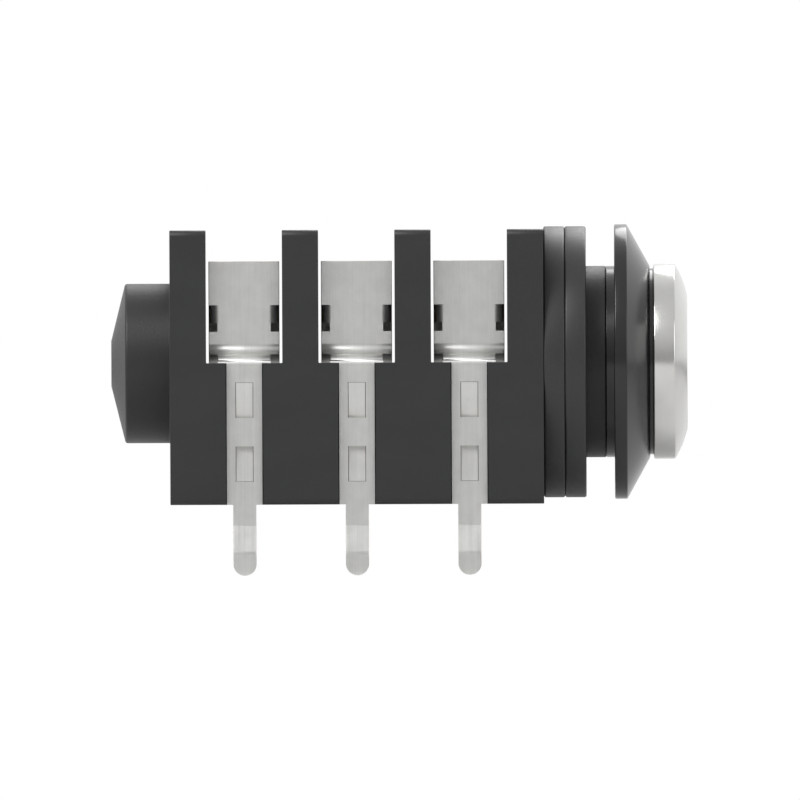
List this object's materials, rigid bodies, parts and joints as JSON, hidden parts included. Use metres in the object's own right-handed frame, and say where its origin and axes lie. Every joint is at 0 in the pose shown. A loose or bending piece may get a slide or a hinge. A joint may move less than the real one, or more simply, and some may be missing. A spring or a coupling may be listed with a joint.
{
  "type": "audio jack socket",
  "caption": "Board-mounted stereo jack socket with open contact bays, switched strip contacts, spacer washers, a conical bezel and a screw-in panel ferrule.",
  "frame": {"origin": "where the plug axis meets the shoulder of the housing, behind the spacer washers", "axes": "+X along the plug axis out of the mouth, +Z away from the board, +Y to the left seen from behind"},
  "size_m": [0.0325, 0.0154, 0.0197],
  "materials": {
    "housing_plastic": "moulded black engineering plastic with a fine spark texture",
    "washer_plastic": "black nylon with a satin face",
    "bezel_plastic": "polished black plastic",
    "ferrule_plating": "bright plated brass, turned",
    "contact_plating": "tin-plated bronze strip with a fine rolling grain"
  },
  "bodies": {
    "housing": {"housing": "housing_plastic", "spacer_washer_1": "washer_plastic", "spacer_washer_2": "washer_plastic", "sleeve_spring_contact": "contact_plating", "sleeve_break_contact": "contact_plating", "ring_spring_contact": "contact_plating", "ring_break_contact": "contact_plating", "tip_spring_contact": "contact_plating", "tip_break_contact": "contact_plating"},
    "bezel": {"bezel": "bezel_plastic"},
    "ferrule": {"ferrule": "ferrule_plating"}
  },
  "joints": [
    {"name": "bezel_slide", "type": "slide", "parent": "housing", "child": "bezel", "axis": [1, 0, 0], "range_m": [0, 0.0045]},
    {"name": "ferrule_turn", "type": "hinge", "parent": "bezel", "child": "ferrule", "pos_m": [0, 0, 0], "axis": [1, 0, 0], "range_deg": [0, 1625]}
  ],
  "couplings": [
    {"joint": "ferrule_turn", "follows": "bezel_slide", "rad_per_m": 6283.2}
  ]
}
